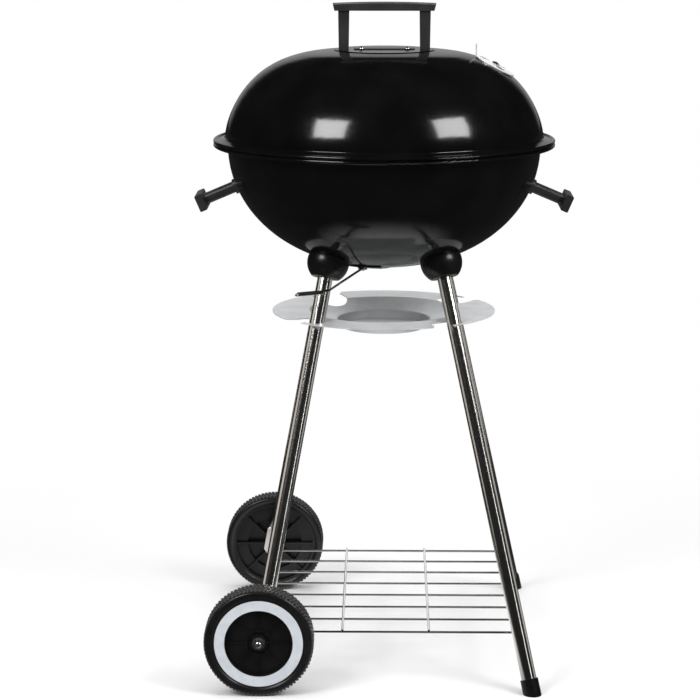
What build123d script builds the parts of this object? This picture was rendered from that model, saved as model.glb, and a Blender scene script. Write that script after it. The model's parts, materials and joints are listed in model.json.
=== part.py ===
from build123d import *
from math import asin, atan2, cos, degrees, hypot, radians, sin
import os

# Kettle charcoal grill on two wheels and two feet. Millimetres, +Z up.
# The origin is on the ground, on the kettle's axis. Wheels stand on the -X side,
# feet on the +X side, and -Y is the front. Each sub-part is one file in parts/.

# ---- Kettle shell --------------------------------------------------------------
sheet = 1.0                 # pressed steel of bowl and lid
bowl_radius = 201.5         # outside of the bowl at its mouth
bowl_depth = 158.8          # mouth to outside of the bottom
mouth_height = 663.8        # top face of the bowl's flange
bowl_roundness = (2.12, 2.07)
bowl_bottom = mouth_height - bowl_depth
lid_margin = 3.3            # dome outside the bowl, at its base
lid_radius = bowl_radius + lid_margin
lid_rise = 109.5            # dome base to its top
lid_roundness = (3.85, 1.5)
flange_width = 18.5         # bowl's outside to the outside of the hems
rim_radius = bowl_radius + flange_width
hem_radius = 2.3            # rolled hem, half its thickness
rim_gap = 0.3               # lid hem above bowl hem
hem_sag = 0.5               # bowl hem's centre below the flange
base_rise = 6.5             # dome base above the lid hem's centre
flare_radius = 4.0          # bend between the dome and its flange
flare_slope = 15.0          # fall of the lid's flange, degrees
shell_steps = 14
shell_seam = 80.0           # azimuth of the surfaces' seam, clear of every fitting

# ---- Stand ---------------------------------------------------------------------
leg_radius = 9.5
leg_wall = 1.0
foot_x = 186.8              # right legs on the ground
foot_y = 233.8
socket_right = (73.1, 72.1)  # plan position of the right sockets, half spacing in Y
socket_left = (-70.7, 73.0)
socket_radius = 26.8
socket_drop = 5.0           # socket centre below the bowl's surface
socket_floor = 20.0         # socket centre to its cut lower face
leg_engagement = 21.0       # leg inside the socket
plug_length = 14.0
bolt_radius = 3.0
bolt_head_radius = 6.0
bolt_head_height = 4.0
foot_cap_height = 18.0
foot_cap_wall = 1.8
foot_cap_floor = 3.0

# ---- Wheels --------------------------------------------------------------------
wheel_radius = 68.5
wheel_width = 32.6
wheel_track = 464.5         # between the wheels' centre planes
axle_x = -154.0
axle_radius = 4.0
axle_clearance = 0.08
tyre_depth = 11.5
tyre_inner_radius = wheel_radius - tyre_depth
tyre_shoulder = 3.0
trim_inset = 1.8            # trim ring inside the tyre
trim_width = 12.6
trim_outer_radius = tyre_inner_radius - trim_inset
trim_inner_radius = trim_outer_radius - trim_width
trim_thickness = 1.2
hub_radius = 10.5
hub_recess = 7.0
web_thickness = 3.0
spoke_count = 8
spoke_thickness = 2.0
inner_step = 19.0           # step of the inner face inside the tyre
inner_step_radius = tyre_inner_radius - inner_step
washer_thickness = 1.5
washer_radius = 8.0
end_gap = 0.4               # axial play of a wheel
nut_radius = 6.9
nut_height = 7.0
paddle_width = 27.0         # flattened end of a left leg
paddle_thickness = 6.0
paddle_top = 120.0

# ---- Bottom rack ---------------------------------------------------------------
rack_drop = 2.5             # end wires below the axle
rack_height = wheel_radius - rack_drop
rack_wire_radius = 1.5
rack_frame_radius = 1.8
rack_wires = 8
rack_margin = 22.4          # outer wires inside the left legs
rack_left = axle_x + 10.5   # the end wire passes beside the axle
rack_cross = (0.293, 0.638)  # cross wires, as shares of the rack's run

# ---- Ash tray ------------------------------------------------------------------
tray_drop = 59.0            # flange below the bowl's bottom
tray_height = bowl_bottom - tray_drop
tray_lip = 5.2              # flange outside the right legs
tray_flat_radius = 97.0
tray_dish_radius = 61.0
tray_bottom_radius = 54.0
tray_cone_drop = 12.0
tray_dish_depth = 10.0
tray_sheet = 1.2
tray_bend = 4.0
tray_twist = 10.0           # bayonet turn, degrees
leg_slot_clearance = 1.1
# rounded lobes of the rear slots: (degrees from the leg, fraction of the tray radius)
lobe_rear_right = ((-14.0, 0.97), (-21.0, 0.84), (-22.0, 0.73), (-6.0, 0.67), (2.0, 0.76), (-3.0, 0.88))
lobe_rear_left = ((-14.0, 0.95), (-12.0, 0.70), (4.0, 0.55), (15.0, 0.60), (10.0, 0.76), (0.0, 0.88))

# ---- Grates --------------------------------------------------------------------
grate_wire_radius = 2.0
cooking_gap = 6.7           # ring inside the bowl's wall
cooking_drop = 15.8         # below the mouth
cooking_height = mouth_height - cooking_drop
cooking_pitch = 16.0
cooking_ring_wire = 3.0
charcoal_gap = 14.8
charcoal_drop = 88.8
charcoal_height = mouth_height - charcoal_drop
charcoal_pitch = 22.0
charcoal_ring_wire = 2.5
grip_span = 72.0            # lifting loops of the cooking grate
grip_rise = 26.0
grip_corner = 9.0
grip_wire_radius = 2.4
grip_inset = 20.0           # loops inside the ring, at least
tab_width = 18.0
tab_thickness = 2.0
tab_reach = 9.0             # tab inside the ring's centre line
tab_gap = 0.3

# ---- Handles -------------------------------------------------------------------
handle_rise = 59.8          # bar's top above the lid
post_spacing = 104.0
handle_overhang = 14.0      # bar beyond a post's centre
handle_bar = (post_spacing + 2 * handle_overhang, 22.0, 9.0)
handle_bar_bevel = 2.2
handle_crown = 1.6
post_top = (14.2, 17.0)
post_foot = (12.6, 15.0)
edge_round = 1.6
side_handle_tilt = 23.0
side_bar = (58.0, 22.0, 10.0)
side_reach = bowl_radius + 38.5        # centre of a side handle's outer face
side_face_height = mouth_height - 76.8
side_post = (14.0, 19.0)
side_collar = (19.0, 25.0, 3.5)
screw_radius = 2.5
screw_head_radius = 5.5
screw_head_height = 3.0
shield_length = post_spacing - 26.0
shield_width = 24.0
shield_sheet = 0.9
shield_corner = 5.0
shield_screw_spacing = shield_length - 19.0
shield_screw_head = 3.9

# ---- Lid damper ----------------------------------------------------------------
vent_radius_on_lid = 142.0
vent_azimuth = -6.0
damper_radius = 28.0
damper_dish = 230.0
damper_sheet = 1.0
damper_gap = 0.6
damper_hole_radius = 6.5
damper_hole_ring = 16.0
tab_plate = (1.0, 12.0, 15.0)
rivet_radius = 2.5
rivet_clearance = 0.08
rivet_head_radius = 5.5
rivet_head_height = 2.4
rivet_gap = 0.3

# ---- Bottom damper -------------------------------------------------------------
blade_sheet = 1.2
blade_gap = 0.5
blade_clearance = 1.8       # blade inside the leg sockets
blade_radius = min(hypot(*socket_left), hypot(*socket_right)) - socket_radius - blade_clearance
pivot_radius = 3.0
blade_half_angle = 21.0
blade_azimuth = -114.0
blade_hub_radius = 18.0
bowl_vent_radius = 14.0
bowl_vent_ring = 46.0
lobes = 3
lever_wire_radius = 1.5
eye_radius = 6.0
eye_thickness = 2.4
eye_ring = blade_radius - 7.0
lever_bend = 3.5
# lever's corners beyond its eye: (along X, along Y, below the bowl's bottom)
lever_route = ((-28.2, -57.7, 5.0), (-42.2, -61.7, 14.0), (-81.2, -64.7, 17.0), (-83.2, -80.7, 17.0), (-47.2, -75.7, 14.5))


def polar(radius, angle, height=0.0):
    """Point at a radius and an azimuth in degrees."""
    return (radius * cos(radians(angle)), radius * sin(radians(angle)), height)


def rod(start, end, radius):
    """Round bar between two points."""
    run = Vector(*end) - Vector(*start)
    place = Plane(origin=start, z_dir=run)
    bar = Cylinder(radius, run.length, align=(Align.CENTER, Align.CENTER, Align.MIN))
    return place.location * bar


def wire(path, radius):
    """Round wire along a path."""
    section = Plane(origin=path @ 0, z_dir=path % 0) * Circle(radius)
    return sweep(section, path=path)


def revolved(points):
    """Solid of revolution of a closed outline of (radius, height) points."""
    outline = Polyline(*[(r, 0, z) for r, z in points], close=True)
    return revolve(make_face(outline), Axis.Z, 360)


def write(node, shape):
    """Write one sub-part, a single solid or a group of separate solids."""
    solids = shape.solids()
    body = solids[0] if len(solids) == 1 else Compound(children=solids)
    body.label = node
    export_step(body, f"parts/{node}.step")


# ---- Kettle surfaces: superellipses of revolution --------------------------------
def shell_fall(radius, mouth_radius, depth, roundness):
    """Distance of the shell from its mouth plane at a radius."""
    radial, axial = roundness
    return depth * (1 - (radius / mouth_radius) ** radial) ** (1 / axial)


def shell_reach(fall, mouth_radius, depth, roundness):
    """Radius of the shell at a distance from its mouth plane."""
    radial, axial = roundness
    return mouth_radius * (1 - (fall / depth) ** axial) ** (1 / radial)


def shell_body(mouth_radius, mouth, depth, roundness, side):
    """Solid under the shell's surface: side is 1 for a dome and -1 for a bowl."""
    radial, axial = roundness
    points = []
    for step in range(shell_steps):
        angle = radians(90 * step / shell_steps)
        radius = mouth_radius * cos(angle) ** (2 / radial)
        fall = depth * sin(angle) ** (2 / axial)
        points.append((radius, 0, mouth + side * fall))
    pole = (0, 0, mouth + side * depth)
    curve = Spline(*points, pole, tangents=[(0, 0, side), (-1, 0, 0)])
    outline = [curve, Line(pole, (0, 0, mouth)), Line((0, 0, mouth), points[0])]
    return Rot(0, 0, shell_seam) * revolve(make_face(outline), Axis.Z, 360)


def bowl_surface(radius, out=0.0):
    """Height of the bowl's outside at a radius, or of a surface further out."""
    fall = shell_fall(radius, bowl_radius + out, bowl_depth + out, bowl_roundness)
    return mouth_height - fall


def bowl_body(out):
    """Bowl's outside as a solid, grown by a distance."""
    return shell_body(bowl_radius + out, mouth_height, bowl_depth + out, bowl_roundness, -1)


hem_ring = rim_radius - hem_radius
bowl_hem_height = mouth_height - hem_sag
lid_hem_height = bowl_hem_height + 2 * hem_radius + rim_gap
lid_base = lid_hem_height + base_rise
lid_top = lid_base + lid_rise

handle_top = lid_top + handle_rise


def ring_inside_bowl(height, gap):
    """Centre radius of a grate's ring that leaves a gap to the bowl's inside."""
    return shell_reach(mouth_height - height, bowl_radius, bowl_depth, bowl_roundness) - sheet - gap


cooking_ring_radius = ring_inside_bowl(cooking_height, cooking_gap + cooking_ring_wire)
charcoal_ring_radius = ring_inside_bowl(charcoal_height, charcoal_gap + charcoal_ring_wire)

bowl_outer = bowl_body(0)
bowl_inner = bowl_body(-sheet)
lid_outer = shell_body(lid_radius, lid_base, lid_rise, lid_roundness, 1)
lid_inner = shell_body(lid_radius - sheet, lid_base, lid_rise - sheet, lid_roundness, 1)


# ---- Leg lines -------------------------------------------------------------------
paddle_y = wheel_track / 2 - wheel_width / 2 - end_gap - washer_thickness - paddle_thickness / 2


def leg_line(right, side):
    """Socket centre and lower point of a leg: side is -1 at the front, 1 at the rear."""
    x, y = socket_right if right else socket_left
    top = Vector(x, side * y, bowl_surface(hypot(x, y)) - socket_drop)
    low = Vector(foot_x, side * foot_y, 0) if right else Vector(axle_x, side * paddle_y, wheel_radius)
    return top, low


def on_leg(right, side, height):
    """Point of a leg's axis at a height."""
    top, low = leg_line(right, side)
    share = (height - low.Z) / (top.Z - low.Z)
    return low + (top - low) * share


corners = {
    "front_left": (False, -1),
    "rear_left": (False, 1),
    "front_right": (True, -1),
    "rear_right": (True, 1),
}


def leg_axes(right, side):
    """Socket centre, upward direction, top of the leg."""
    top, low = leg_line(right, side)
    up = (top - low).normalized()
    return top, up, top - up * (socket_floor - leg_engagement)


def leg_bolt(right, side):
    """Bolt from inside the bowl, down the leg's axis into its plug."""
    centre, up, leg_top = leg_axes(right, side)
    shank = rod(tuple(leg_top - up * plug_length), tuple(centre + up * 25), bolt_radius)
    skin = centre + up * (socket_drop + sheet)
    head = rod(tuple(skin - up * 3), tuple(skin + up * bolt_head_height), bolt_head_radius)
    shank_inside = rod(tuple(leg_top - up * plug_length), tuple(skin), bolt_radius)
    return shank, (head & bowl_inner) + shank_inside


def leg_socket(right, side):
    """Ball-shaped socket that fits the bowl and takes the top of a leg."""
    centre, up, leg_top = leg_axes(right, side)
    floor = centre - up * socket_floor
    ball = Pos(*centre) * Sphere(socket_radius)
    keep = rod(tuple(floor), tuple(floor + up * 80), socket_radius * 2)
    hole = rod(tuple(floor - up), tuple(leg_top), leg_radius)
    shank, _ = leg_bolt(right, side)
    return (ball & keep) - bowl_outer - hole - shank


def leg_plug(right, side):
    """Threaded plug in the top of a leg."""
    _, up, leg_top = leg_axes(right, side)
    plug = rod(tuple(leg_top - up * plug_length), tuple(leg_top), leg_radius - leg_wall)
    shank, _ = leg_bolt(right, side)
    return plug - shank


rack_right = on_leg(True, 1, rack_height).X
rack_plug_right = on_leg(True, 1, rack_height).Y


def rack_plugs():
    """The two end wires of the rack, which plug into the legs."""
    left = rod((rack_left, -paddle_y, rack_height), (rack_left, paddle_y, rack_height), rack_frame_radius)
    right = rod(
        (rack_right, -rack_plug_right, rack_height),
        (rack_right, rack_plug_right, rack_height),
        rack_frame_radius,
    )
    return left, right


def axle_line(radius, length):
    """Bar on the axle's line, centred on the grill."""
    return rod((axle_x, -length / 2, wheel_radius), (axle_x, length / 2, wheel_radius), radius)


def right_leg(side):
    """Straight tube, cut level above the foot cap's floor."""
    _, low = leg_line(True, side)
    _, up, leg_top = leg_axes(True, side)
    tube = rod(tuple(low - up * 20), tuple(leg_top), leg_radius)
    bore = rod(tuple(low - up * 25), tuple(leg_top + up), leg_radius - leg_wall)
    ground = Pos(low.X, low.Y, foot_cap_floor) * Box(80, 80, 80, align=(Align.CENTER, Align.CENTER, Align.MAX))
    return tube - bore - ground - rack_plugs()[1]


def left_leg(side):
    """Tube flattened into an upright paddle around the axle."""
    _, low = leg_line(False, side)
    _, up, leg_top = leg_axes(False, side)
    neck = on_leg(False, side, paddle_top)
    tube = rod(tuple(neck), tuple(leg_top), leg_radius)
    bore = rod(tuple(neck + up * 12), tuple(leg_top + up), leg_radius - leg_wall)
    lean = degrees(atan2(neck.X - low.X, neck.Z - low.Z))
    blade_line = Plane(origin=low, x_dir=(0, 1, 0), z_dir=(sin(radians(lean)), 0, cos(radians(lean))))
    blade_length = (neck.Z - low.Z) * 0.45
    round_end = Plane(origin=neck, x_dir=(0, 1, 0), z_dir=up) * Circle(leg_radius)
    flat_end = blade_line.offset(blade_length) * Ellipse(paddle_thickness / 2 + 0.4, paddle_width / 2)
    squeeze = loft([flat_end, round_end])
    outline = Plane(origin=low, x_dir=(1, 0, 0), z_dir=(0, -1, 0))
    half = paddle_width / 2
    corner = half * 0.6
    paddle = Polyline(
        (-half, blade_length), (-half, -corner), (-corner, -half), (corner, -half), (half, -corner),
        (half, blade_length), close=True,
    )
    plate = extrude(outline * (Rot(0, 0, -lean) * make_face(paddle)), paddle_thickness / 2, both=True)
    leg = tube - bore + squeeze + plate
    return leg - axle_line(axle_radius, wheel_track) - rack_plugs()[0]


def foot_cap(side):
    """Plastic cap under a right leg, flat on the ground."""
    _, low = leg_line(True, side)
    _, up, _ = leg_axes(True, side)
    outside = rod(tuple(low - up * 20), tuple(on_leg(True, side, foot_cap_height)), leg_radius + foot_cap_wall)
    ground = Pos(low.X, low.Y, 0) * Box(80, 80, 80, align=(Align.CENTER, Align.CENTER, Align.MAX))
    seat = rod(tuple(low - up * 20), tuple(low + up * 60), leg_radius)
    below = Pos(low.X, low.Y, foot_cap_floor) * Box(80, 80, 80, align=(Align.CENTER, Align.CENTER, Align.MAX))
    return outside - ground - (seat - below)


# ---- Bowl --------------------------------------------------------------------------
def bowl_vents():
    """Air holes in the bottom of the bowl."""
    holes = []
    for lobe in range(lobes):
        place = polar(bowl_vent_ring, blade_azimuth + 360 / lobes * lobe, bowl_bottom)
        holes.append(Pos(*place) * Cylinder(bowl_vent_radius, 60))
    return holes


def make_bowl():
    flange = revolved([
        (bowl_radius - sheet, mouth_height),
        (hem_ring, mouth_height),
        (hem_ring, mouth_height - sheet),
        (bowl_radius - sheet, mouth_height - sheet),
    ])
    hem = Pos(0, 0, bowl_hem_height) * Torus(hem_ring, hem_radius)
    bowl = bowl_outer - bowl_inner + flange + hem
    for hole in bowl_vents():
        bowl = bowl - hole
    bowl = bowl - Pos(0, 0, bowl_bottom) * Cylinder(pivot_radius, 20)
    for corner in corners.values():
        bowl = bowl - leg_bolt(*corner)[0]
    for side in (-1, 1):
        bowl = bowl - side_screw_shank(side)
    return bowl


def side_frame(side):
    """Plane of a side handle: origin on its outer face, z outward along the post."""
    tilt = radians(side_handle_tilt)
    return Plane(
        origin=(side * side_reach, 0, side_face_height),
        x_dir=(0, 1, 0),
        z_dir=(side * cos(tilt), 0, -sin(tilt)),
    )


side_length = (side_reach - bowl_radius) / cos(radians(side_handle_tilt)) + 30


def side_screw_shank(side):
    """Hole line of a side handle's screw."""
    frame_here = side_frame(side)
    return frame_here.offset(-side_length) * Cylinder(
        screw_radius, side_length - 12, align=(Align.CENTER, Align.CENTER, Align.MIN)
    )


def side_handle(side):
    """Moulded T handle: grip bar, oval post and collar against the bowl."""
    place = side_frame(side)
    length, height, thickness = side_bar
    bar = Box(length, height, thickness, align=(Align.CENTER, Align.CENTER, Align.MAX))
    bar = fillet(bar.edges().filter_by(Axis.X), edge_round)
    tall, wide = side_post
    post = extrude(RectangleRounded(wide, tall, tall / 2 - 1.5), -side_length)
    collar_tall, collar_wide, collar_length = side_collar
    collar = extrude(RectangleRounded(collar_wide, collar_tall, collar_tall / 2 - 2), -side_length)
    seat = Pos(0, 0, -side_length) * Box(
        120, 120, side_length - handle_seat_depth() + collar_length,
        align=(Align.CENTER, Align.CENTER, Align.MIN),
    )
    handle = bar + post + (collar & seat)
    return place.location * handle - bowl_outer - side_screw_shank(side)


def handle_seat_depth():
    """Distance from a side handle's outer face to the bowl along the post."""
    tilt = radians(side_handle_tilt)
    depth = 0.0
    for _ in range(30):
        fall = mouth_height - (side_face_height + depth * sin(tilt))
        reach = shell_reach(fall, bowl_radius, bowl_depth, bowl_roundness)
        depth = (side_reach - reach) / cos(tilt)
    return depth


def side_screw(side):
    """Screw from inside the bowl into a side handle's post."""
    depth = handle_seat_depth()
    place = side_frame(side)
    shank = place.offset(-depth - 6) * Cylinder(
        screw_radius, depth + 6 - 12, align=(Align.CENTER, Align.CENTER, Align.MIN)
    )
    head = place.offset(-depth - 3 - screw_head_height) * Cylinder(
        screw_head_radius, screw_head_height + 3, align=(Align.CENTER, Align.CENTER, Align.MIN)
    )
    inside = place.offset(-depth - 2) * Cylinder(screw_head_radius, 30, align=(Align.CENTER, Align.CENTER, Align.MIN))
    return shank + ((head & bowl_inner) - (inside - bowl_inner))


# ---- Grate supports and grates -----------------------------------------------------
def grate_tab(ring_radius, ring_wire, height, azimuth):
    """Welded angle on the bowl's wall that carries a grate's ring."""
    top = height - ring_wire - tab_gap
    wall = shell_reach(mouth_height - top, bowl_radius, bowl_depth, bowl_roundness)
    inner = ring_radius - tab_reach
    shelf = Pos((inner + wall + 20) / 2, 0, top - tab_thickness / 2) * Box(wall + 20 - inner, tab_width, tab_thickness)
    web = Pos((ring_radius + 6 + wall + 20) / 2, 0, top - 7) * Box(wall + 14 - ring_radius, tab_thickness, 12)
    return Rot(0, 0, azimuth) * (shelf + web) & bowl_inner


def grate(ring_radius, ring_wire, height, pitch):
    """Round grate: ring, parallel bars along X and two bars across them."""
    ring = Pos(0, 0, height) * Torus(ring_radius, ring_wire)
    bars = []
    y = pitch / 2
    while y < ring_radius - pitch / 3:
        half = (ring_radius ** 2 - y ** 2) ** 0.5
        for side in (-1, 1):
            bars.append(rod((-half, side * y, height), (half, side * y, height), grate_wire_radius))
        y += pitch
    cross_x = ring_radius * 0.45
    half = (ring_radius ** 2 - cross_x ** 2) ** 0.5
    drop = height - grate_wire_radius
    for side in (-1, 1):
        bars.append(rod((side * cross_x, -half, drop), (side * cross_x, half, drop), grate_wire_radius))
    return ring + bars


def grate_grip(side):
    """Bent wire loop for lifting the cooking grate."""
    rows = int((cooking_ring_radius - grip_inset) / cooking_pitch)
    y = side * cooking_pitch * (rows + 0.5)
    foot = cooking_height
    top = cooking_height + grip_rise
    half = grip_span / 2
    path = FilletPolyline((-half, y, foot), (-half, y, top), (half, y, top), (half, y, foot), radius=grip_corner)
    return wire(path, grip_wire_radius)


# ---- Lid ---------------------------------------------------------------------------
def lid_flange():
    """Flared flange from the dome's base to the hem."""
    centre = lid_radius + flare_radius
    end = 180 + 90 - flare_slope
    outer_arc = Plane.XZ * CenterArc((centre, lid_base), flare_radius, 180, end - 180)
    inner_arc = Plane.XZ * CenterArc((centre, lid_base), flare_radius + sheet, 180, end - 180)
    run = (hem_ring - (outer_arc @ 1).X)
    fall = run * sin(radians(flare_slope)) / cos(radians(flare_slope))
    tip = (hem_ring, 0, (outer_arc @ 1).Z - fall)
    under = (hem_ring, 0, (outer_arc @ 1).Z - fall - sheet)
    outline = [
        outer_arc, Line(outer_arc @ 1, tip), Line(tip, under), Line(under, inner_arc @ 1),
        inner_arc, Line(inner_arc @ 0, outer_arc @ 0),
    ]
    return revolve(make_face(outline), Axis.Z, 360)


def lid_normal(radius):
    """Tilt of the dome's outward normal from vertical, degrees."""
    radial, axial = lid_roundness
    fall = shell_fall(radius, lid_radius, lid_rise, lid_roundness)
    outward = radial * (radius / lid_radius) ** radial / radius
    upward = axial * (fall / lid_rise) ** axial / fall
    return degrees(atan2(outward, upward))


damper_tilt = lid_normal(vent_radius_on_lid)
damper_seat = polar(
    vent_radius_on_lid, vent_azimuth,
    lid_base + shell_fall(vent_radius_on_lid, lid_radius, lid_rise, lid_roundness),
)
damper_axis = polar(sin(radians(damper_tilt)), vent_azimuth, cos(radians(damper_tilt)))
damper_plane = Plane(
    origin=damper_seat,
    x_dir=polar(cos(radians(damper_tilt)), vent_azimuth, -sin(radians(damper_tilt))),
    z_dir=damper_axis,
)


def vent_pattern(offset):
    """Three round holes about the damper's rivet."""
    return [
        Pos(*polar(damper_hole_ring, offset + 120 * hole)) * Cylinder(damper_hole_radius, 24)
        for hole in range(3)
    ]


def make_lid():
    hem = Pos(0, 0, lid_hem_height) * Torus(hem_ring, hem_radius)
    lid = lid_outer - lid_inner + lid_flange() + hem
    for hole in vent_pattern(0):
        lid = lid - damper_plane.location * hole
    lid = lid - damper_plane.location * Cylinder(rivet_radius, 20)
    for side in (-1, 1):
        lid = lid - Pos(side * post_spacing / 2, 0, lid_top) * Cylinder(screw_radius, 20)
        lid = lid - Pos(side * shield_screw_spacing / 2, 0, lid_top) * Cylinder(screw_radius - 0.5, 20)
    return lid


def make_lid_handle():
    """Bar on two tapered posts, one moulding."""
    length, width, thickness = handle_bar
    bottom = handle_top - handle_crown - thickness
    shoulder = handle_top - handle_crown
    half = length / 2
    low_half = half - handle_bar_bevel
    crown = ThreePointArc((half, 0, shoulder), (0, 0, handle_top), (-half, 0, shoulder))
    outline = [
        crown,
        Line((-half, 0, shoulder), (-low_half, 0, bottom)),
        Line((-low_half, 0, bottom), (low_half, 0, bottom)),
        Line((low_half, 0, bottom), (half, 0, shoulder)),
    ]
    bar = extrude(make_face(outline), width / 2, dir=(0, 1, 0), both=True)
    bar = fillet(bar.edges().group_by(Axis.Z)[-1], edge_round)
    handle = bar
    foot = lid_top - 6
    for side in (-1, 1):
        x = side * post_spacing / 2
        upper = Plane(origin=(x, 0, bottom + 0.5)) * RectangleRounded(*post_top, edge_round)
        lower = Plane(origin=(x, 0, foot)) * RectangleRounded(*post_foot, edge_round)
        post = loft([lower, upper])
        hole = rod((x, 0, foot - 1), (x, 0, lid_top + 24), screw_radius)
        handle = handle + post - hole
    return handle - lid_outer


def lid_handle_screw(side):
    """Screw up through the lid into a handle post."""
    x = side * post_spacing / 2
    under = lid_base + shell_fall(post_spacing / 2, lid_radius - sheet, lid_rise - sheet, lid_roundness)
    shank = rod((x, 0, under - 4), (x, 0, lid_top + 24), screw_radius)
    head = rod((x, 0, under - screw_head_height - 1.5), (x, 0, under - 1.5), screw_head_radius)
    return shank + head, under


def lid_handle_washer(side):
    """Washer between a handle screw's head and the lid."""
    x = side * post_spacing / 2
    screw, under = lid_handle_screw(side)
    ring = rod((x, 0, under - 1.5), (x, 0, under + 3), screw_head_radius + 2)
    return (ring & lid_inner) - screw


def make_shield():
    """Thin plate between the posts that keeps the heat off the hand."""
    slab = Box(shield_length, shield_width, 2 * shield_sheet)
    slab = fillet(slab.edges().filter_by(Axis.Z), shield_corner)
    plate = Pos(0, 0, lid_top) * slab - lid_outer
    for side in (-1, 1):
        plate = plate - Pos(side * shield_screw_spacing / 2, 0, lid_top) * Cylinder(screw_radius - 0.5, 30)
    return plate


def shield_screw(side):
    """Round-headed screw through the shield and the lid."""
    x = side * shield_screw_spacing / 2
    seat = lid_top + shield_sheet
    dome = Pos(x, 0, seat - 1.0) * Sphere(shield_screw_head)
    head = dome - Pos(x, 0, 0) * Box(20, 20, 2 * seat)
    shank = rod((x, 0, lid_top - 6), (x, 0, seat), screw_radius - 0.5)
    return head + shank


def shield_nut(side):
    """Nut under the lid on a shield screw."""
    x = side * shield_screw_spacing / 2
    body = Pos(x, 0, lid_top - 4.6) * extrude(RegularPolygon(4.0, 6), 6)
    return (body & lid_inner) - shield_screw(side)


def lid_damper():
    """Dished disc with three air holes and a finger tab."""
    cap = Sphere(damper_dish + damper_sheet) - Sphere(damper_dish)
    disc = Pos(0, 0, damper_gap - damper_dish) * cap & Cylinder(damper_radius, 20)
    for hole in vent_pattern(60):
        disc = disc - hole
    disc = disc - Cylinder(rivet_radius + rivet_clearance, 20)
    thick, wide, tall = tab_plate
    edge = damper_plane.from_local_coords((-damper_radius + 1.2, 0, damper_gap - 1.2))
    upright = Pos(*edge) * Rot(0, 0, vent_azimuth) * Box(
        thick, wide, tall, align=(Align.CENTER, Align.CENTER, Align.MIN)
    )
    return damper_plane.location * disc + upright


def lid_damper_rivet():
    """Rivet that the lid damper turns on."""
    top = damper_gap + damper_sheet + rivet_gap
    shank = Pos(0, 0, -5) * Cylinder(rivet_radius, top + 5, align=(Align.CENTER, Align.CENTER, Align.MIN))
    ball = rivet_head_radius ** 2 / (2 * rivet_head_height) + rivet_head_height / 2
    dome = Pos(0, 0, top + rivet_head_height - ball) * Sphere(ball)
    head = dome & Pos(0, 0, top) * Cylinder(40, 20, align=(Align.CENTER, Align.CENTER, Align.MIN))
    tail = Pos(0, 0, -4.5) * Cylinder(rivet_head_radius, 6, align=(Align.CENTER, Align.CENTER, Align.MIN))
    return damper_plane.location * (shank + head) + (damper_plane.location * tail & lid_inner)


# ---- Bottom damper -----------------------------------------------------------------
blade_outer = bowl_body(blade_gap + blade_sheet)
eye_place = polar(eye_ring, blade_azimuth)


def damper_blade():
    """Three-lobed blade that follows the bowl's bottom."""
    plan = Circle(blade_hub_radius)
    for lobe in range(lobes):
        middle = blade_azimuth + 360 / lobes * lobe
        arc = CenterArc((0, 0), blade_radius, middle - blade_half_angle, 2 * blade_half_angle)
        plan = plan + make_face([Line((0, 0), arc @ 0), arc, Line(arc @ 1, (0, 0))])
    prism = Pos(0, 0, bowl_bottom - 20) * extrude(plan, 60)
    blade = (blade_outer - bowl_body(blade_gap)) & prism
    blade = blade - Pos(0, 0, bowl_bottom) * Cylinder(pivot_radius + rivet_clearance, 30)
    return blade - lever_rivet_shank()


def eye_frame():
    """Plane under the blade where the lever's eye is riveted."""
    slope = (blade_slope_height(eye_ring + 4) - blade_slope_height(eye_ring - 4)) / 8
    place = polar(eye_ring, blade_azimuth, blade_slope_height(eye_ring))
    lean = atan2(slope, 1)
    down = polar(sin(lean), blade_azimuth, -cos(lean))
    return Plane(origin=place, z_dir=down)


def blade_slope_height(radius):
    """Height of the blade's underside at a radius."""
    return bowl_surface(radius, blade_gap + blade_sheet)


def lever_rivet_shank():
    return eye_frame().location * Cylinder(rivet_radius - 0.5, 14)


def damper_lever():
    """Wire lever: riveted eye, arm, down-bend and a finger loop."""
    frame_here = eye_frame()
    eye = frame_here.location * Pos(0, 0, -1.2) * Cylinder(
        eye_radius, eye_thickness + 1.2, align=(Align.CENTER, Align.CENTER, Align.MIN)
    )
    start = frame_here.from_local_coords((0, 0, eye_thickness / 2 + 0.3))
    outward = Vector(*polar(1, blade_azimuth))
    first = start + outward * (eye_radius - 1.5)
    corners_out = [(eye_place[0] + x, eye_place[1] + y, bowl_bottom - drop) for x, y, drop in lever_route]
    path = FilletPolyline(tuple(first), *corners_out, radius=lever_bend)
    arm = wire(path, lever_wire_radius)
    return eye - blade_outer - lever_rivet_shank() + arm


def lever_rivet():
    """Rivet through the blade and the lever's eye."""
    frame_here = eye_frame()
    upper = blade_sheet
    shank = Pos(0, 0, -upper) * Cylinder(
        rivet_radius - 0.5, upper + eye_thickness + 0.2, align=(Align.CENTER, Align.CENTER, Align.MIN)
    )
    head_height = 1.8
    ball = 4.0 ** 2 / (2 * head_height) + head_height / 2
    dome = Pos(0, 0, eye_thickness + head_height - ball) * Sphere(ball)
    head = dome & Pos(0, 0, eye_thickness) * Cylinder(30, 20, align=(Align.CENTER, Align.CENTER, Align.MIN))
    return frame_here.location * (shank + head) - bowl_body(blade_gap)


def pivot_rivet():
    """Rivet through the bowl that the bottom damper turns on."""
    bottom = bowl_bottom - blade_gap - blade_sheet - rivet_gap
    shank = rod((0, 0, bottom), (0, 0, bowl_bottom + sheet + 1), pivot_radius)
    head = rod((0, 0, bottom - rivet_head_height), (0, 0, bottom), rivet_head_radius + 2)
    tail = rod((0, 0, bottom), (0, 0, bowl_bottom + sheet + 2.5), rivet_head_radius) & bowl_inner
    return shank + fillet(head.edges().group_by(Axis.Z)[0], 1.4) + tail


# ---- Ash tray ----------------------------------------------------------------------
tray_leg = on_leg(True, 1, tray_height)
tray_radius = hypot(tray_leg.X, tray_leg.Y) + leg_radius + tray_lip


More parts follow.
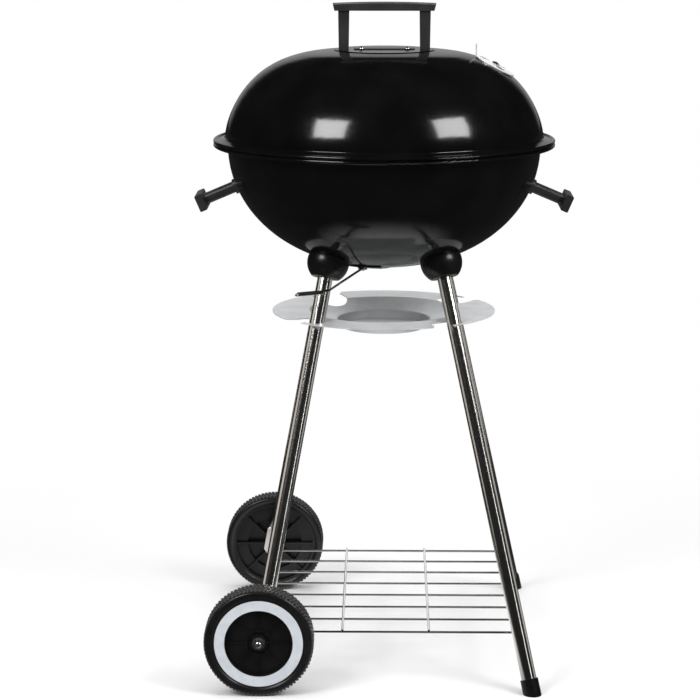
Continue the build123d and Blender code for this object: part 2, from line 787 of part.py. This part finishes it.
def tray_skin(drop):
    """Tray's profile line, lowered by a distance."""
    rim = tray_height - drop
    return FilletPolyline(
        (0, 0, rim - tray_cone_drop - tray_dish_depth),
        (tray_bottom_radius, 0, rim - tray_cone_drop - tray_dish_depth),
        (tray_dish_radius, 0, rim - tray_cone_drop),
        (tray_flat_radius, 0, rim),
        (tray_radius, 0, rim),
        radius=tray_bend,
    )


def tray_slot(right, side):
    """Bayonet slot for a leg: pocket, turning room, mouth and, at the rear, a lobe."""
    leg = on_leg(right, side, tray_height)
    angle = degrees(atan2(leg.Y, leg.X))
    ring = hypot(leg.X, leg.Y)
    top, low = leg_line(right, side)
    width = leg_radius * (top - low).length / (top.Z - low.Z) + leg_slot_clearance
    margin = degrees(asin(width / ring))
    arc = CenterArc((0, 0), ring, angle - tray_twist, tray_twist)
    slot = SlotArc(arc, 2 * width)
    mouth = [
        (ring, angle - tray_twist + margin),
        (tray_radius + 20, angle - tray_twist + margin),
        (tray_radius + 20, angle - tray_twist - 2.3 * margin),
        (ring - width, angle - tray_twist),
    ]
    slot = slot + make_face(Polyline(*[polar(*point)[:2] for point in mouth], close=True))
    if side > 0:
        lobe = lobe_rear_right if right else lobe_rear_left
        points = [polar(tray_radius * share, angle + turn)[:2] for turn, share in lobe]
        slot = slot + make_face(Spline(*points, periodic=True))
    return Pos(0, 0, tray_height - 50) * extrude(slot, 80)


def ash_tray():
    top = tray_skin(0)
    under = tray_skin(tray_sheet)
    outline = [top, Line(top @ 1, under @ 1), under, Line(under @ 0, top @ 0)]
    tray = revolve(make_face(outline), Axis.Z, 360)
    for corner in corners.values():
        tray = tray - tray_slot(*corner)
    return tray


# ---- Rack --------------------------------------------------------------------------
def bottom_rack():
    """Welded wire shelf between the legs."""
    left, right = rack_plugs()
    wires = []
    half_span = paddle_y - rack_margin
    rack_pitch = 2 * half_span / (rack_wires - 1)
    for row in range(rack_wires):
        y = -half_span + rack_pitch * row
        wires.append(rod((rack_left, y, rack_height), (rack_right, y, rack_height), rack_wire_radius))
    above = rack_height + 2 * rack_wire_radius - 0.4
    for share in rack_cross:
        x = rack_left + (rack_right - rack_left) * share
        wires.append(rod((x, -half_span - 3, above), (x, half_span + 3, above), rack_wire_radius))
    return left + wires + right


# ---- Wheels ------------------------------------------------------------------------
def on_axle(side):
    """Wheel frame: origin at the wheel's centre, z outward."""
    return Plane(
        origin=(axle_x, side * wheel_track / 2, wheel_radius), x_dir=(1, 0, 0), z_dir=(0, side, 0)
    ).location


def tyre():
    """Tyre with rounded shoulders."""
    depth = wheel_radius - tyre_inner_radius
    section = Plane.XZ * Pos(tyre_inner_radius + depth / 2, 0) * Rectangle(depth, wheel_width)
    section = fillet(section.vertices().group_by(Axis.X)[-1], tyre_shoulder)
    return revolve(section, Axis.Z, 360)


def trim_ring():
    """Flat bright ring on the wheel's outer face."""
    face = wheel_width / 2
    return revolved([
        (trim_inner_radius, face - trim_thickness), (trim_outer_radius, face - trim_thickness),
        (trim_outer_radius, face), (trim_inner_radius, face),
    ])


def wheel_hub():
    """Moulded wheel: rim, web, hub and ribs on both faces."""
    half = wheel_width / 2
    deck = half - trim_thickness
    floor = half - hub_recess
    body = revolved([
        (0, -half + 1), (hub_radius, -half + 1), (hub_radius, -web_thickness),
        (inner_step_radius, -web_thickness), (inner_step_radius, -half + 7),
        (tyre_inner_radius - 3, -half + 7), (tyre_inner_radius - 3, -half), (tyre_inner_radius, -half),
        (tyre_inner_radius, half), (trim_outer_radius, half), (trim_outer_radius, deck),
        (trim_inner_radius - 1.5, deck), (trim_inner_radius - 1.5, floor), (hub_radius + 6, floor),
        (hub_radius + 6, floor + 2), (hub_radius + 4, floor + 2), (hub_radius + 4, floor),
        (hub_radius, floor), (hub_radius, deck - 1), (0, deck - 1),
    ])
    inner_reach = tyre_inner_radius - 2 - (hub_radius - 1)
    outer_reach = trim_inner_radius - 1 - (hub_radius - 1)
    for spoke in range(spoke_count):
        turn = Rot(0, 0, 360 / spoke_count * spoke)
        inner_rib = Pos(hub_radius - 1, 0, -half + 2) * Box(
            inner_reach, spoke_thickness, half - 3, align=(Align.MIN, Align.CENTER, Align.MIN)
        )
        outer_rib = Pos(hub_radius - 1, 0, floor - 0.5) * Box(
            outer_reach, spoke_thickness * 0.7, 2.5, align=(Align.MIN, Align.CENTER, Align.MIN)
        )
        body = body + turn * inner_rib + turn * outer_rib
    return body - Cylinder(axle_radius + axle_clearance, 2 * wheel_width)


def axle_washers():
    """Washers inside and outside each wheel."""
    shapes = []
    half = wheel_width / 2
    for side in (-1, 1):
        inner = Pos(0, 0, -half - end_gap - washer_thickness) * Cylinder(
            washer_radius, washer_thickness, align=(Align.CENTER, Align.CENTER, Align.MIN)
        )
        outer = Pos(0, 0, outer_washer_face()) * Cylinder(
            washer_radius, washer_thickness, align=(Align.CENTER, Align.CENTER, Align.MIN)
        )
        shapes += [on_axle(side) * (ring - Cylinder(axle_radius, 200)) for ring in (inner, outer)]
    return shapes


def outer_washer_face():
    """Inner face of the outer washer, from the wheel's centre plane."""
    return wheel_width / 2 - trim_thickness - 1 + end_gap


def axle_nut(side):
    """Domed hexagon nut on the end of the axle."""
    start = outer_washer_face() + washer_thickness
    hexagon = Pos(0, 0, start) * extrude(RegularPolygon(nut_radius, 6), nut_height - 1.5)
    dome = Pos(0, 0, start + nut_height - 5.2) * Sphere(5.4)
    cap = dome & Pos(0, 0, start) * Cylinder(20, 20, align=(Align.CENTER, Align.CENTER, Align.MIN))
    bore = Pos(0, 0, start - 10) * Cylinder(
        axle_radius, 10 + nut_height - 2.5, align=(Align.CENTER, Align.CENTER, Align.MIN)
    )
    return on_axle(side) * (hexagon + cap - bore)


def make_axle():
    """Axle, from nut to nut."""
    reach = wheel_track / 2 + outer_washer_face() + washer_thickness + nut_height - 2.5
    return axle_line(axle_radius, 2 * reach)


# ---- Build -------------------------------------------------------------------------
os.makedirs("parts", exist_ok=True)

write("bowl", make_bowl())
for name, side in (("left", -1), ("right", 1)):
    write(f"side_handle_{name}", side_handle(side))
write("side_handle_screws", Compound(children=[side_screw(side) for side in (-1, 1)]))
for name, corner in corners.items():
    write(f"leg_socket_{name}", leg_socket(*corner))
    write(f"leg_{name}", right_leg(corner[1]) if corner[0] else left_leg(corner[1]))
write("leg_bolts", Compound(children=[leg_bolt(*corner)[1] for corner in corners.values()]))
write("leg_plugs", Compound(children=[leg_plug(*corner) for corner in corners.values()]))
for name, side in (("front", -1), ("rear", 1)):
    write(f"foot_cap_{name}", foot_cap(side))
write("axle", make_axle())
write("axle_washers", Compound(children=axle_washers()))
write("axle_nuts", Compound(children=[axle_nut(side) for side in (-1, 1)]))
write("bottom_rack", bottom_rack())

tab_turns = (45, 135, 225, 315)
cooking_tabs = [grate_tab(cooking_ring_radius, cooking_ring_wire, cooking_height, turn) for turn in tab_turns]
charcoal_tabs = [grate_tab(charcoal_ring_radius, charcoal_ring_wire, charcoal_height, turn) for turn in tab_turns]
write("cooking_grate_tabs", Compound(children=cooking_tabs))
write("charcoal_grate_tabs", Compound(children=charcoal_tabs))
write("charcoal_grate", grate(charcoal_ring_radius, charcoal_ring_wire, charcoal_height, charcoal_pitch))
cooking = grate(cooking_ring_radius, cooking_ring_wire, cooking_height, cooking_pitch)
write("cooking_grate", cooking)
write("cooking_grate_grips", Compound(children=[(grate_grip(side) - cooking).solids()[0] for side in (-1, 1)]))

write("lid", make_lid())
write("lid_handle", make_lid_handle())
write("lid_handle_screws", Compound(children=[lid_handle_screw(side)[0] for side in (-1, 1)]))
write("lid_handle_washers", Compound(children=[lid_handle_washer(side) for side in (-1, 1)]))
write("handle_heat_shield", make_shield())
write("heat_shield_screws", Compound(children=[shield_screw(side) for side in (-1, 1)]))
write("heat_shield_nuts", Compound(children=[shield_nut(side) for side in (-1, 1)]))
write("lid_damper", lid_damper())
write("lid_damper_rivet", lid_damper_rivet())

write("damper_blade", damper_blade())
write("damper_lever", damper_lever())
write("lever_rivet", lever_rivet())
write("damper_pivot_rivet", pivot_rivet())
write("ash_tray", ash_tray())

for name, side in (("front", -1), ("rear", 1)):
    write(f"tyre_{name}", on_axle(side) * tyre())
    write(f"trim_ring_{name}", on_axle(side) * trim_ring())
    write(f"wheel_{name}", on_axle(side) * wheel_hub())
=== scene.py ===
import json
from math import cos, pi, radians, sin

import bmesh
import bpy
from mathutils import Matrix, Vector


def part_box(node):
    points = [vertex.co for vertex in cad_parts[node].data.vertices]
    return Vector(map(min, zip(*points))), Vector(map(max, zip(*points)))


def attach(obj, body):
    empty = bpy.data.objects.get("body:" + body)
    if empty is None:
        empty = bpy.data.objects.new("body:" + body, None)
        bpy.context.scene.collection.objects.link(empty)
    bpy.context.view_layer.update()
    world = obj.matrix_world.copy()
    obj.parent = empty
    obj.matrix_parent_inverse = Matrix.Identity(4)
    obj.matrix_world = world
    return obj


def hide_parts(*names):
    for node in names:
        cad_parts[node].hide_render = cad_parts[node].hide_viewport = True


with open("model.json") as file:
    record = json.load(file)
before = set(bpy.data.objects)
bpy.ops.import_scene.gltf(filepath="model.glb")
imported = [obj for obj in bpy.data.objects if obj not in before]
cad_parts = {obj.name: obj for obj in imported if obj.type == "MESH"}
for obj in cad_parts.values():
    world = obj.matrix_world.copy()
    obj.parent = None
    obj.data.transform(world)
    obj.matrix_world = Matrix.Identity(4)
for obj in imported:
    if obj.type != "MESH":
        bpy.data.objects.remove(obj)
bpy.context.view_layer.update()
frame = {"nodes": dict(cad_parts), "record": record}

# ---- Camera, metres and degrees ---------------------------------------------------
CAMERA_PLACE = (0.0010, -3.2216, 1.0229)
CAMERA_TILT = 78.91
CAMERA_PAN = 0.80
CAMERA_LENS = 128.8         # millimetres, as the sensor
SENSOR_WIDTH = 36.0
CLIP_END = 200.0

# ---- Studio -----------------------------------------------------------------------
FLOOR_HALF = 40.0
FLOOR_DROP = 0.0004         # floor under the wheels, so that faces don't coincide
FLOOR_COLOUR = 0.90
SHADOW_REACH = 0.35         # radius where the floor starts to burn out to white
WHITE_REACH = 1.2
# The floor as gloss reflects it: a painted pool of light under the grill, an emission that only reflections
# see
SWEEP_BRIGHT = 0.06         # radius of the pool
SWEEP_DARK = 0.40           # radius where it has gone dark
SWEEP_GLOW = (1.10, 0.02)   # brightness inside and outside
# The studio as gloss reflects it: pale behind and low down, nearly dark elsewhere
BACK_SPAN = (0.86, 0.99)    # how squarely behind, as a direction's Y
LOW_SPAN = (0.29, 0.33)     # up to this height, as a direction's Z
LOW_GLOW = (0.36, 0.004)    # brightness under and over that height
DARK_GLOW = 0.006
EVEN_GLOW = 0.55            # on matt surfaces
WHITE_GLOW = 1.0            # to the camera
LIGHT_DISTANCE = 2.5
LIGHT_AIM = Vector((0.0, -0.15, 0.70))
# name: (azimuth from the front, elevation, width, height, roll, watts)
SOFTBOXES = {
    "softbox_left": (-45.0, 33.0, 0.98, 0.86, 11.0, 30.0),
    "softbox_right": (57.0, 32.0, 1.05, 0.86, -11.0, 30.0),
}
TOP_LIGHT = (2.8, 2.6, 36.0)    # height, size, watts
HANDLE_LIGHT = (2.4, 1.1, 26.0)  # the same, taken by the plastic handles only
HANDLE_SLOTS = ("handle_plastic",)
# Upright strips that only bare metal reflects: (azimuth, width, watts, colour)
STRIPS = {
    "strip_left": (-82.0, 0.75, 2.4, (1.0, 0.93, 0.86)),
    "strip_front": (46.0, 0.07, 1.3, (1.0, 1.0, 1.0)),
    "strip_right": (104.0, 0.80, 2.0, (1.0, 0.97, 0.94)),
    "strip_back": (180.0, 1.20, 6.0, (1.0, 1.0, 1.0)),
}
STRIP_HEIGHT = 1.5
STRIP_DISTANCE = 1.3
METAL_SLOTS = ("polished_steel", "chromed_wire", "zinc_plated_steel", "damper_aluminium", "galvanised_sheet")

# ---- Shading ----------------------------------------------------------------------
NORMAL_WEIGHT = 100         # large faces lead the shading of small ones beside them
NOISE_SPAN = (0.3, 0.7)     # noise that is spread over a roughness
MIX_SPAN = (0.35, 0.65)     # noise that mixes two colours
PATCH_DETAIL = 4.0
GRAIN_DETAIL = 3.0
RELIEF_DETAIL = 2.0
HEM_BLEND = 0.0012          # radius within which the enamel's normals are blended
BLEND_RAYS = 8

# ---- Tyre tread -------------------------------------------------------------------
TREAD_COUNT = 84
TREAD_ROWS = 4
TREAD_DEPTH = 0.0016
TREAD_FILL = 0.64           # block length as a share of its pitch
TREAD_SLANT = 0.0021
TREAD_MARGIN = 0.0010       # block inside its row
TREAD_TAPER = 0.82          # top of a block against its foot
TYRE_STEPS = 168
SHOULDER = 0.0034
SHOULDER_STEPS = 6
BLOCK_ROOT = 1.4            # a block's foot below its top, in tread depths


# ---- Materials --------------------------------------------------------------------
def noise(tree, scale, detail, stretch=(1, 1, 1)):
    """Noise factor over the piece's own coordinates, in features per metre."""
    place = tree.nodes.new("ShaderNodeTexCoord")
    mapping = tree.nodes.new("ShaderNodeMapping")
    mapping.inputs["Scale"].default_value = stretch
    texture = tree.nodes.new("ShaderNodeTexNoise")
    texture.inputs["Scale"].default_value = scale
    texture.inputs["Detail"].default_value = detail
    tree.links.new(place.outputs["Object"], mapping.inputs["Vector"])
    tree.links.new(mapping.outputs["Vector"], texture.inputs["Vector"])
    return texture.outputs["Fac"]


def ranged(tree, value, span, results, smooth=False):
    """Value whose span is mapped to a range of results."""
    node = tree.nodes.new("ShaderNodeMapRange")
    if smooth:
        node.interpolation_type = "SMOOTHSTEP"
    node.inputs["From Min"].default_value, node.inputs["From Max"].default_value = span
    node.inputs["To Min"].default_value, node.inputs["To Max"].default_value = results
    tree.links.new(value, node.inputs["Value"])
    return node.outputs["Result"]


def blended(tree, factor, low, high):
    """Noise factor turned into a mix of two colours."""
    ramp = tree.nodes.new("ShaderNodeValToRGB")
    for element, place, colour in zip(ramp.color_ramp.elements, MIX_SPAN, (low, high)):
        element.position = place
        element.color = (*colour, 1)
    tree.links.new(factor, ramp.inputs["Fac"])
    return ramp.outputs["Color"]


def bumped(tree, shader, factor, strength, distance, blend):
    """Relief from a factor, over normals blended within a radius."""
    bump = tree.nodes.new("ShaderNodeBump")
    if blend > 0:
        even = tree.nodes.new("ShaderNodeBevel")
        even.samples = BLEND_RAYS
        even.inputs["Radius"].default_value = blend
        tree.links.new(even.outputs["Normal"], bump.inputs["Normal"])
    bump.inputs["Strength"].default_value = strength
    bump.inputs["Distance"].default_value = distance
    tree.links.new(factor, bump.inputs["Height"])
    tree.links.new(bump.outputs["Normal"], shader.inputs["Normal"])


def finish_material(name, colours, roughness, metallic=0.0, patch=30.0, grain=900.0,
                    stretch=(1, 1, 1), relief=(0.2, 0.0001), coat=0.0, coat_roughness=0.03, blend=0.0):
    """Surface whose colour and roughness wander over patches, with a fine grain in relief."""
    material = bpy.data.materials.new(name)
    material.use_nodes = True
    tree = material.node_tree
    shader = tree.nodes["Principled BSDF"]
    shader.inputs["Metallic"].default_value = metallic
    shader.inputs["Coat Weight"].default_value = coat
    shader.inputs["Coat Roughness"].default_value = coat_roughness
    tree.links.new(blended(tree, noise(tree, patch, PATCH_DETAIL), *colours), shader.inputs["Base Color"])
    wander = noise(tree, grain, GRAIN_DETAIL, stretch)
    tree.links.new(ranged(tree, wander, NOISE_SPAN, roughness), shader.inputs["Roughness"])
    bumped(tree, shader, noise(tree, grain, RELIEF_DETAIL, stretch), *relief, blend)
    return material


def grey(value):
    return (value, value, value)


ALONG_LEG = (1, 1, 0.02)    # drawing lines run up the tube
ROLLED = (1, 0.04, 1)       # rolling lines run along Y

FINISHES = {
    "black_enamel": dict(
        colours=(grey(0.002), grey(0.0035)), roughness=(0.12, 0.16), patch=22, grain=260,
        relief=(0.008, 0.0001), coat=0.25, coat_roughness=0.08, blend=HEM_BLEND),
    "black_painted_sheet": dict(
        colours=(grey(0.004), grey(0.008)), roughness=(0.24, 0.34), grain=700, relief=(0.06, 0.0001)),
    "handle_plastic": dict(
        colours=(grey(0.018), grey(0.027)), roughness=(0.34, 0.46), grain=1500, relief=(0.25, 0.0002)),
    "black_plastic": dict(
        colours=(grey(0.003), grey(0.006)), roughness=(0.24, 0.34), grain=1200, relief=(0.10, 0.0001)),
    "polished_steel": dict(
        colours=((0.68, 0.66, 0.63), (0.78, 0.76, 0.73)), roughness=(0.12, 0.20), metallic=1, patch=12,
        grain=2200, stretch=ALONG_LEG, relief=(0.03, 0.00005)),
    "chromed_wire": dict(
        colours=(grey(0.42), grey(0.52)), roughness=(0.14, 0.24), metallic=1, grain=1400,
        relief=(0.05, 0.00005)),
    "zinc_plated_steel": dict(
        colours=((0.60, 0.62, 0.64), (0.74, 0.75, 0.76)), roughness=(0.18, 0.34), metallic=1, patch=160,
        grain=1600, relief=(0.12, 0.0001)),
    "damper_aluminium": dict(
        colours=(grey(0.72), grey(0.80)), roughness=(0.30, 0.42), metallic=0.55, grain=1500,
        stretch=ROLLED, relief=(0.08, 0.0001)),
    "galvanised_sheet": dict(
        colours=((0.56, 0.585, 0.60), (0.66, 0.67, 0.68)), roughness=(0.34, 0.44), metallic=0.35,
        patch=40, grain=1500, stretch=ROLLED, relief=(0.06, 0.0001)),
    "wheel_plastic": dict(
        colours=(grey(0.0045), grey(0.007)), roughness=(0.30, 0.42), grain=900, relief=(0.10, 0.0001)),
    "tyre_plastic": dict(
        colours=(grey(0.005), grey(0.010)), roughness=(0.26, 0.40), grain=1100, relief=(0.18, 0.0002)),
    # Tread blocks: the tyre's own rubber painted lighter than the carcass, a painted highlight on blocks
    # that catch the light
    "tread_blocks_painted_highlight": dict(
        colours=(grey(0.035), grey(0.075)), roughness=(0.24, 0.36), patch=500, grain=1100,
        relief=(0.12, 0.0002)),
    "trim_plastic": dict(
        colours=((0.56, 0.60, 0.645), (0.63, 0.665, 0.70)), roughness=(0.30, 0.42), metallic=0.10,
        patch=90, grain=1700, relief=(0.08, 0.0001)),
}
MATERIALS = {name: finish_material(name, **finish) for name, finish in FINISHES.items()}


def dress_nodes():
    """Every CAD node takes the material of its slot in the record."""
    for part in frame["record"]["subparts"]:
        node = frame["nodes"][part["node"]]
        node.data.materials.clear()
        node.data.materials.append(MATERIALS[part["material_slot"]])
        even = node.modifiers.new("even_shading", "WEIGHTED_NORMAL")
        even.weight = NORMAL_WEIGHT
        even.keep_sharp = True


# ---- Tyres with tread -------------------------------------------------------------
def ring_point(radius, angle, across, centre, outward):
    """Point of a wheel: its axle lies along Y, and across grows outward."""
    return (centre.x + radius * cos(angle), centre.y + outward * across, centre.z + radius * sin(angle))


def tyre_profile(bore, radius, half):
    """Section of the carcass as (radius, across) points, a closed loop with round shoulders."""
    points = [(bore, -half), (bore, half)]
    crown = radius - TREAD_DEPTH
    arc = [pi / 2 * turn / SHOULDER_STEPS for turn in range(SHOULDER_STEPS + 1)]
    for side, turns in ((1, arc), (-1, arc[::-1])):
        for angle in turns:
            across = half - SHOULDER + SHOULDER * cos(angle)
            points.append((crown - SHOULDER + SHOULDER * sin(angle), side * across))
    return points


def add_carcass(verts, faces, bore, radius, half, centre, outward):
    """Ring of the tyre's section, before its tread."""
    profile = tyre_profile(bore, radius, half)
    count = len(profile)
    for step in range(TYRE_STEPS):
        angle = 2 * pi * step / TYRE_STEPS
        verts += [ring_point(r, angle, a, centre, outward) for r, a in profile]
    for step in range(TYRE_STEPS):
        here, after = step * count, (step + 1) % TYRE_STEPS * count
        for i in range(count):
            j = (i + 1) % count
            faces.append((here + i, here + j, after + j, after + i))


def add_block(verts, faces, radius, angle, across, size, slant, centre, outward):
    """One tapered tread block, a slanted prism standing on the carcass."""
    length, width = size
    first = len(verts)
    for level, taper in ((radius - TREAD_DEPTH * BLOCK_ROOT, 1.0), (radius, TREAD_TAPER)):
        for u, v in ((-1, -1), (1, -1), (1, 1), (-1, 1)):
            along = (u * length / 2 * taper + v * slant) / radius
            verts.append(ring_point(level, angle + along, across + v * width / 2 * taper, centre, outward))
    faces += [[first + i for i in quad] for quad in (
        (0, 1, 2, 3), (4, 7, 6, 5), (0, 4, 5, 1), (1, 5, 6, 2), (2, 6, 7, 3), (3, 7, 4, 0))]


def make_tyre(name):
    """Tyre with a herringbone tread, as wide and as tall as its CAD node."""
    low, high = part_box(f"tyre_{name}")
    wheel_low, wheel_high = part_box(f"wheel_{name}")
    centre = (low + high) / 2
    radius, half = (high.z - low.z) / 2, (high.y - low.y) / 2
    bore = (wheel_high.z - wheel_low.z) / 2
    outward = -1 if name == "front" else 1
    verts, faces = [], []
    add_carcass(verts, faces, bore, radius, half, centre, outward)
    carcass_faces = len(faces)
    row_width = (2 * half - SHOULDER) / TREAD_ROWS
    pitch = 2 * pi / TREAD_COUNT
    size = (TREAD_FILL * pitch * radius, row_width - TREAD_MARGIN)
    for row in range(TREAD_ROWS):
        across = (row - (TREAD_ROWS - 1) / 2) * row_width
        slant = TREAD_SLANT / 2 * (1 if row % 2 else -1)
        for block in range(TREAD_COUNT):
            angle = pitch * (block + 0.5 * (row % 2))
            add_block(verts, faces, radius, angle, across, size, slant, centre, outward)
    mesh = bpy.data.meshes.new(f"tyre_tread_{name}")
    mesh.from_pydata(verts, [], faces)
    mesh.validate()
    mesh.materials.append(MATERIALS["tyre_plastic"])
    # The blocks take the lighter copy of the tyre rubber, a painted highlight
    mesh.materials.append(MATERIALS["tread_blocks_painted_highlight"])
    for index, face in enumerate(mesh.polygons):
        face.use_smooth = index < carcass_faces
        face.material_index = 0 if face.use_smooth else 1
    piece = bpy.data.objects.new(f"tyre_tread_{name}", mesh)
    bpy.context.scene.collection.objects.link(piece)
    fix_normals(mesh)
    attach(piece, f"wheel_{name}")
    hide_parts(f"tyre_{name}")


def fix_normals(mesh):
    """All faces turned outward."""
    work = bmesh.new()
    work.from_mesh(mesh)
    bmesh.ops.recalc_face_normals(work, faces=work.faces)
    work.to_mesh(mesh)
    work.free()


# ---- Studio -----------------------------------------------------------------------
def make_floor():
    """Plain pale floor, whose mirror image is a painted pool of light, an emission that fades to dark away
    from the grill.
    """
    half = FLOOR_HALF
    mesh = bpy.data.meshes.new("floor")
    corners = [(-half, -half, 0), (half, -half, 0), (half, half, 0), (-half, half, 0)]
    mesh.from_pydata(corners, [], [(0, 1, 2, 3)])
    floor = bpy.data.objects.new("floor", mesh)
    floor.location.z = -FLOOR_DROP
    bpy.context.scene.collection.objects.link(floor)
    material = bpy.data.materials.new("floor")
    material.use_nodes = True
    tree = material.node_tree
    tree.nodes.clear()
    out = tree.nodes.new("ShaderNodeOutputMaterial")
    pale = tree.nodes.new("ShaderNodeBsdfDiffuse")
    pale.inputs["Color"].default_value = (*grey(FLOOR_COLOUR), 1)
    white = tree.nodes.new("ShaderNodeEmission")
    # Painted pool of light: an emission on the floor that only glossy rays see
    glow = tree.nodes.new("ShaderNodeEmission")
    place = tree.nodes.new("ShaderNodeTexCoord")
    away = tree.nodes.new("ShaderNodeVectorMath")
    away.operation = "LENGTH"
    tree.links.new(place.outputs["Object"], away.inputs[0])
    radius = away.outputs["Value"]
    pool = ranged(tree, radius, (SWEEP_BRIGHT, SWEEP_DARK), SWEEP_GLOW, smooth=True)
    tree.links.new(pool, glow.inputs["Strength"])
    burnt = ranged(tree, radius, (SHADOW_REACH, WHITE_REACH), (0, 1), smooth=True)
    seen = mixed(tree, burnt, pale.outputs[0], white.outputs[0])
    paths = tree.nodes.new("ShaderNodeLightPath")
    either = mixed(tree, paths.outputs["Is Glossy Ray"], seen, glow.outputs[0])
    tree.links.new(either, out.inputs["Surface"])
    mesh.materials.append(material)


def mixed(tree, factor, first, second):
    """Mix of two shaders."""
    mix = tree.nodes.new("ShaderNodeMixShader")
    tree.links.new(factor, mix.inputs["Fac"])
    tree.links.new(first, mix.inputs[1])
    tree.links.new(second, mix.inputs[2])
    return mix.outputs[0]


def aim(thing, target):
    """Turn a lamp to face a point."""
    thing.rotation_euler = (target - thing.location).to_track_quat("-Z", "Y").to_euler()


def area_light(name, watts, place, width, height=None):
    """Square or rectangular area light, facing down."""
    data = bpy.data.lights.new(name, "AREA")
    data.size = width
    if height:
        data.shape = "RECTANGLE"
        data.size_y = height
    data.energy = watts
    lamp = bpy.data.objects.new(name, data)
    lamp.location = place
    bpy.context.scene.collection.objects.link(lamp)
    return lamp


def make_softboxes():
    """Two boxes in front, which the enamel mirrors, and a large light above that it doesn't."""
    for name, (azimuth, elevation, width, height, roll, watts) in SOFTBOXES.items():
        flat = cos(radians(elevation))
        way = Vector((flat * sin(radians(azimuth)), -flat * cos(radians(azimuth)), sin(radians(elevation))))
        lamp = area_light(name, watts, LIGHT_AIM + way * LIGHT_DISTANCE, width, height)
        aim(lamp, LIGHT_AIM)
        lamp.rotation_euler.rotate_axis("Z", radians(roll))
    height, size, watts = TOP_LIGHT
    area_light("top_light", watts, (0, 0, height), size).visible_glossy = False


def nodes_of(name, slots):
    """Collection of the CAD nodes that have one of these finishes."""
    group = bpy.data.collections.new(name)
    for part in frame["record"]["subparts"]:
        if part["material_slot"] in slots:
            group.objects.link(frame["nodes"][part["node"]])
    return group


def make_handle_light():
    """High light that only the plastic handles take."""
    height, size, watts = HANDLE_LIGHT
    lamp = area_light("handle_light", watts, (0, 0, height), size)
    lamp.light_linking.receiver_collection = nodes_of("plastic_handles", HANDLE_SLOTS)


def make_strips():
    """Upright strip lights that only the bare metal takes."""
    metal = nodes_of("bare_metal", METAL_SLOTS)
    for name, (azimuth, width, watts, colour) in STRIPS.items():
        way = Vector((sin(radians(azimuth)), -cos(radians(azimuth)), 0))
        place = way * STRIP_DISTANCE + Vector((0, 0, STRIP_HEIGHT / 2 + FLOOR_DROP))
        lamp = area_light(name, watts, place, width, STRIP_HEIGHT)
        lamp.data.color = colour
        aim(lamp, Vector((0, 0, lamp.location.z)))
        lamp.light_linking.receiver_collection = metal


def make_world():
    """White to the eye, even light on matt surfaces, and for gloss dark in front and paler behind."""
    world = bpy.data.worlds.new("studio")
    bpy.context.scene.world = world
    world.use_nodes = True
    tree = world.node_tree
    tree.nodes.clear()
    out = tree.nodes.new("ShaderNodeOutputWorld")
    paths = tree.nodes.new("ShaderNodeLightPath")
    place = tree.nodes.new("ShaderNodeTexCoord")
    split = tree.nodes.new("ShaderNodeSeparateXYZ")
    tree.links.new(place.outputs["Generated"], split.inputs["Vector"])
    level = tree.nodes.new("ShaderNodeMath")
    level.operation = "MULTIPLY_ADD"
    level.inputs[2].default_value = DARK_GLOW
    behind = ranged(tree, split.outputs["Y"], BACK_SPAN, (0, 1), smooth=True)
    low = ranged(tree, split.outputs["Z"], LOW_SPAN, LOW_GLOW)
    tree.links.new(behind, level.inputs[0])
    tree.links.new(low, level.inputs[1])
    looks = {name: tree.nodes.new("ShaderNodeBackground") for name in ("even", "gloss", "white")}
    for look in looks.values():
        look.inputs["Color"].default_value = (*grey(1), 1)
    looks["even"].inputs["Strength"].default_value = EVEN_GLOW
    looks["white"].inputs["Strength"].default_value = WHITE_GLOW
    tree.links.new(level.outputs["Value"], looks["gloss"].inputs["Strength"])
    lit = mixed(tree, paths.outputs["Is Glossy Ray"], looks["even"].outputs[0], looks["gloss"].outputs[0])
    seen = mixed(tree, paths.outputs["Is Camera Ray"], lit, looks["white"].outputs[0])
    tree.links.new(seen, out.inputs["Surface"])


def make_camera():
    """Camera at the fitted place, with no shift and no depth of field."""
    data = bpy.data.cameras.new("camera")
    data.lens = CAMERA_LENS
    data.sensor_width = SENSOR_WIDTH
    data.clip_end = CLIP_END
    camera = bpy.data.objects.new("camera", data)
    camera.location = CAMERA_PLACE
    camera.rotation_euler = (radians(CAMERA_TILT), 0, radians(CAMERA_PAN))
    bpy.context.scene.collection.objects.link(camera)
    bpy.context.scene.camera = camera


dress_nodes()
for wheel in ("front", "rear"):
    make_tyre(wheel)
make_floor()
make_softboxes()
make_handle_light()
make_strips()
make_world()
make_camera()
bpy.context.scene.view_settings.view_transform = "Standard"
